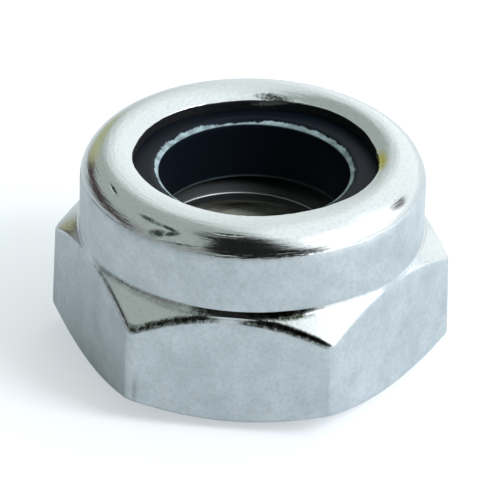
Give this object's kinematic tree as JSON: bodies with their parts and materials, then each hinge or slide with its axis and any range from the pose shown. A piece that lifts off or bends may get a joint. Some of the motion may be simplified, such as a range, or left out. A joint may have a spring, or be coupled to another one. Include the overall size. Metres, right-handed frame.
{
  "type": "nylon insert lock nut",
  "caption": "Hexagon lock nut with a round collar rolled over a captive nylon ring that grips the bolt's thread and stops it working loose.",
  "frame": {"origin": "on the thread's axis, in the plane of the bearing face that clamps the joint", "axes": "+Z along the thread's axis, from the bearing face towards the nylon ring; corners of the hexagon on +X and -X"},
  "size_m": [0.0148, 0.013, 0.008],
  "materials": {
    "zinc_plated_steel": "bright zinc plate over cold-formed steel",
    "dark_nylon": "satin moulded nylon, very dark navy"
  },
  "bodies": {
    "root": {"nut_body": "zinc_plated_steel", "nylon_insert": "dark_nylon"}
  },
  "joints": []
}
